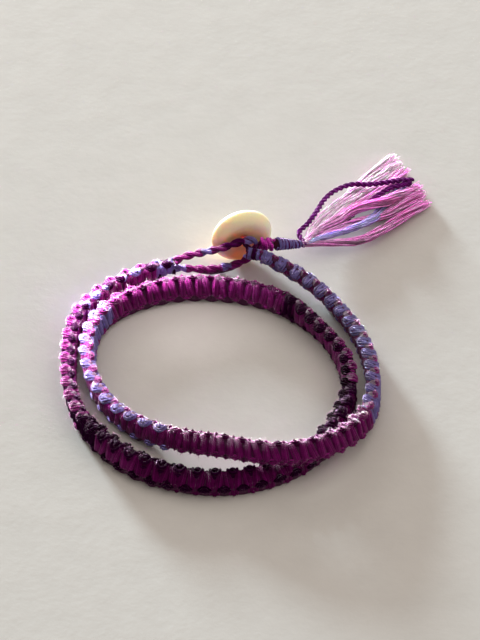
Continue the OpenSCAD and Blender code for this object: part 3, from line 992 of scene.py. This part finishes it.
def shell_finish():
    made, tree, shader = new_material("shell")
    place = add_node(tree, "TexCoord").outputs["Object"]
    from_glow_centre = add_node(tree, "VectorMath", {1: PAINTED_GLOW_CENTRE}, {0: place}, "DISTANCE")
    cloud = add_node(tree, "TexNoise", {"Scale": 260.0, "Detail": 2.0}, {"Vector": place})
    drift = add_node(tree, "Math", {1: SHELL_DRIFT * MM},
                     {0: cloud.outputs["Fac"], 2: from_glow_centre.outputs["Value"]}, "MULTIPLY_ADD")
    zone = add_node(tree, "MapRange", {"From Min": 0.0, "From Max": SHELL_REACH * MM},
                    {"Value": drift.outputs["Value"]})
    set_up(tree, shader,
           {"Roughness": 0.32, "Subsurface Weight": 0.85, "Subsurface Radius": (1.0, 0.72, 0.40),
            "Subsurface Scale": 2.2 * MM, "Coat Weight": 0.3, "Coat Roughness": 0.15},
           {"Base Color": add_ramp(tree, zone.outputs["Result"], SHELL_PAINTED_LIGHT_BANDS)})
    return made


stand_for(button, "button", shell_finish())

# %% [markdown]
# ## The surface
# The bracelet lies on a plain pale surface, like plaster with a faint mottling. One noise tints it
# and lifts it a little, and a finer one makes the grain that a low light shows.

# %% Floor
bpy.ops.mesh.primitive_plane_add(size=3.0)
floor = bpy.context.object
floor.name = "floor"
surface, tree, shader = new_material("plaster_surface")
place = add_node(tree, "TexCoord").outputs["Object"]
mottle = add_node(tree, "TexNoise", {"Scale": 120.0, "Detail": 5.0, "Roughness": 0.6},
                  {"Vector": place}).outputs["Fac"]
plaster = add_ramp(tree, mottle, [(0.3, (0.735, 0.725, 0.705)), (0.7, (0.775, 0.765, 0.745))])
mottled = add_node(tree, "Bump", {"Strength": 0.35, "Distance": 0.3 * MM}, {"Height": mottle})
finer = add_node(tree, "TexNoise", {"Scale": 700.0, "Detail": 3.0}, {"Vector": place})
grain = add_node(tree, "Bump", {"Strength": 0.5, "Distance": 0.05 * MM},
                 {"Height": finer.outputs["Fac"], "Normal": mottled.outputs["Normal"]})
set_up(tree, shader, {"Roughness": 0.9, "Specular IOR Level": 0.1},
       {"Base Color": plaster, "Normal": grain.outputs["Normal"]})
floor.data.materials.append(surface)

# %% [markdown]
# ## Light
# A low sun comes from behind on the left and draws long soft shadows. The air gives a warm fill,
# brighter from the right and from above, and a glowing window stands behind. A photographer flags
# lamps so that they reach one thing and not the rest. Here four such suns light the rims, the
# tassel and the shell from behind, two narrow beams light the left side of the ring, one of them
# for the shine alone, and two small spots light the surface where the band reflects the sun.

# %% Fill from all round
world = bpy.data.worlds.new("soft_fill")
bpy.context.scene.world = world
world.use_nodes = True
sky = world.node_tree
bright_side = add_node(sky, "VectorMath", {1: (0.60, 0.20, 0.77)},
                       {0: add_node(sky, "TexCoord").outputs["Generated"]}, "DOT_PRODUCT")
fade = add_node(sky, "MapRange", {"From Min": -0.2, "From Max": 1.0},
                {"Value": bright_side.outputs["Value"]})
wash = add_ramp(sky, fade.outputs["Result"],
                [(0.0, (0.160, 0.140, 0.122)), (1.0, (0.78, 0.70, 0.63))])
set_up(sky, sky.nodes["Background"], {"Strength": 1.0}, {"Color": wash})


# %% Lamps
def from_side(elevation, azimuth):
    """Direction to a light, its azimuth in degrees to the right of straight behind."""
    high, aside = math.radians(elevation), math.radians(azimuth)
    return Vector((math.sin(aside) * math.cos(high), math.cos(aside) * math.cos(high),
                   math.sin(high)))


def add_lamp(kind, name, energy, colour, toward, receivers=None, **shape):
    """A lamp that shines from a direction, on all that there is or on its receivers alone."""
    bpy.ops.object.light_add(type=kind)
    lamp = bpy.context.object
    lamp.name = name
    lamp.data.energy = energy
    lamp.data.color = colour
    for key, value in shape.items():
        setattr(lamp.data, key, value)
    lamp.rotation_mode = "QUATERNION"
    lamp.rotation_quaternion = toward.to_track_quat("Z", "Y")
    if receivers:
        reached = bpy.data.collections.new(name + "_receivers")
        for piece in receivers:
            reached.objects.link(piece)
        lamp.light_linking.receiver_collection = reached
    return lamp


WINDOW = from_side(26, -25)
add_lamp("SUN", "low_key", 5.8, (0.82, 0.95, 1.0), from_side(8.5, -27), angle=math.radians(9))
window = add_lamp("AREA", "window_glow", 0.75, (1.0, 0.97, 0.93), WINDOW,
                  shape="RECTANGLE", size=0.45, size_y=0.22)
window.location = WINDOW * 0.55

# Flagged suns: energy, width and direction in degrees, and the pieces that each one reaches
cords = [o for o in bpy.data.objects if o.type == "MESH" and o not in (floor, button)]
tassel = [o for o in cords if "tassel_" in o.name]
FLAGGED = [
    ("flagged_rim", 16.0, 4, 7, -30, [o for o in cords if o not in tassel]),
    ("flagged_tassel", 15.0, 12, 15, -34, tassel),
    ("flagged_floss", 3.6, 40, 60, 30, tassel),
    ("flagged_shell", 9.0, 10, 14, -30, [button]),
]
for name, energy, spread, elevation, azimuth, lit in FLAGGED:
    add_lamp("SUN", name, energy, (1.0, 0.95, 0.95), from_side(elevation, azimuth), lit,
             angle=math.radians(spread))

# Narrow beams on the left side of the ring; the second only makes the fibres shine
BEAM_AT = Vector((-33, 2, 4)) * MM
BEAM_FROM = 0.5
BEAMS = [
    ("narrow_beam", 280.0, (1.0, 0.95, 0.97), 4.3, 20, from_side(48, -48)),
    ("shining_beam", 800.0, (1.0, 0.93, 0.98), 4.6, 40, from_side(24, -30)),
]
for name, energy, colour, width, softness, toward in BEAMS:
    beam = add_lamp("SPOT", name, energy, colour, toward, cords, spot_blend=0.8,
                    spot_size=math.radians(width), shadow_soft_size=softness * MM)
    beam.location = BEAM_AT + toward * BEAM_FROM
beam.visible_diffuse = False

# Two spots from above brighten the surface where the band reflects the sun on it
SPOT_HEIGHT = 300
for index, (x, y) in enumerate(((-17.5, -3.5), (-8.5, -3.0))):
    spot = add_lamp("SPOT", f"reflected_{index}", 0.35, (1.0, 0.90, 0.92), Vector((0, 0, 1)),
                    [floor], spot_size=math.radians(5.5), spot_blend=1.0,
                    shadow_soft_size=5 * MM)
    spot.location = Vector((x, y, SPOT_HEIGHT)) * MM
bpy.context.scene.view_settings.view_transform = "Standard"

# %% [markdown]
# ## Camera
# The photograph was taken from far away through a long lens, looking down at 42 degrees. The
# spacing of the knots round the ring gave that angle, and the width of the ring gave the lens.

# %% Camera
TARGET = Vector((-2.66, 0.30, 0.0)) * MM
DISTANCE = 800 * MM
ELEVATION = math.radians(42)
SENSOR = 36.0
bpy.ops.object.camera_add()
camera = bpy.context.object
camera.name = "camera"
back = Vector((0, -math.cos(ELEVATION), math.sin(ELEVATION)))
camera.location = TARGET + back * DISTANCE
camera.rotation_mode = "QUATERNION"
camera.rotation_quaternion = back.to_track_quat("Z", "Y")
camera.data.sensor_width = SENSOR
camera.data.lens = SENSOR / 2 / (320 / 3888)
camera.data.clip_start = 0.01
camera.data.clip_end = 10.0
bpy.context.scene.camera = camera
